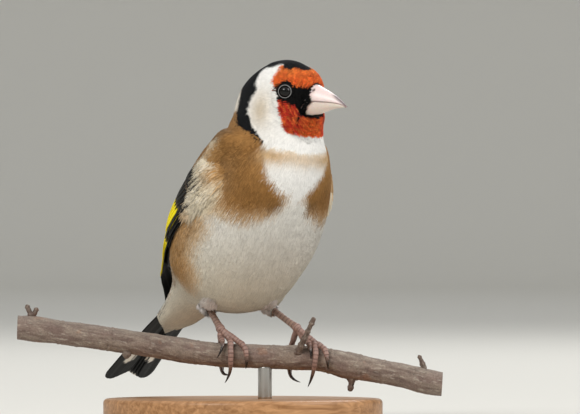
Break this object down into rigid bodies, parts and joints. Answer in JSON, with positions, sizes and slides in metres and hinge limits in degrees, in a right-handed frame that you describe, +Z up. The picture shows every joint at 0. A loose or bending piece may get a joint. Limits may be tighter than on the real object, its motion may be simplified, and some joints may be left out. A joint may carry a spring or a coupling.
{
  "type": "european goldfinch",
  "caption": "Life-size European goldfinch perched upright on a cut twig, head turned to its left, carried by a round wooden base and a short rod.",
  "frame": {"origin": "middle of the stand base's underside, on the floor, under the bird's body", "axes": "+Z up; the bird's body faces -Y and its left side is towards +X; the head is turned 24 degrees to its left"},
  "size_m": [0.1031, 0.0985, 0.0979],
  "materials": {
    "face_feathers": "soft feathers: red face, black lores and crown, white cheeks",
    "neck_feathers": "soft feathers, white throat and buff-brown sides",
    "body_feathers": "soft feathers, buff-brown and white",
    "tail_feathers": "smooth black feathers with white spots near the tips",
    "wing_feathers": "smooth black feathers with a yellow bar and pale tips",
    "bill_horn": "ivory-pink horn with a satin sheen",
    "eye": "wet, near-black",
    "leg_scales": "flesh-brown scaly skin",
    "claw_horn": "dark horn",
    "bark": "rough grey-brown bark",
    "base_wood": "dark stained, waxed",
    "rod_steel": "satin"
  },
  "bodies": {
    "root": {"head": "face_feathers", "neck": "neck_feathers", "torso": "body_feathers", "tail": "tail_feathers", "wing_left": "wing_feathers", "wing_right": "wing_feathers", "bill_upper": "bill_horn", "bill_lower": "bill_horn", "eye_left": "eye", "eye_right": "eye", "leg_left": "leg_scales", "leg_right": "leg_scales", "foot_left": "leg_scales", "foot_right": "leg_scales", "claw_left_inner": "claw_horn", "claw_left_middle": "claw_horn", "claw_left_outer": "claw_horn", "claw_left_hind": "claw_horn", "claw_right_inner": "claw_horn", "claw_right_middle": "claw_horn", "claw_right_outer": "claw_horn", "claw_right_hind": "claw_horn", "perch": "bark", "stand_base": "base_wood", "stand_rod": "rod_steel"}
  },
  "joints": []
}
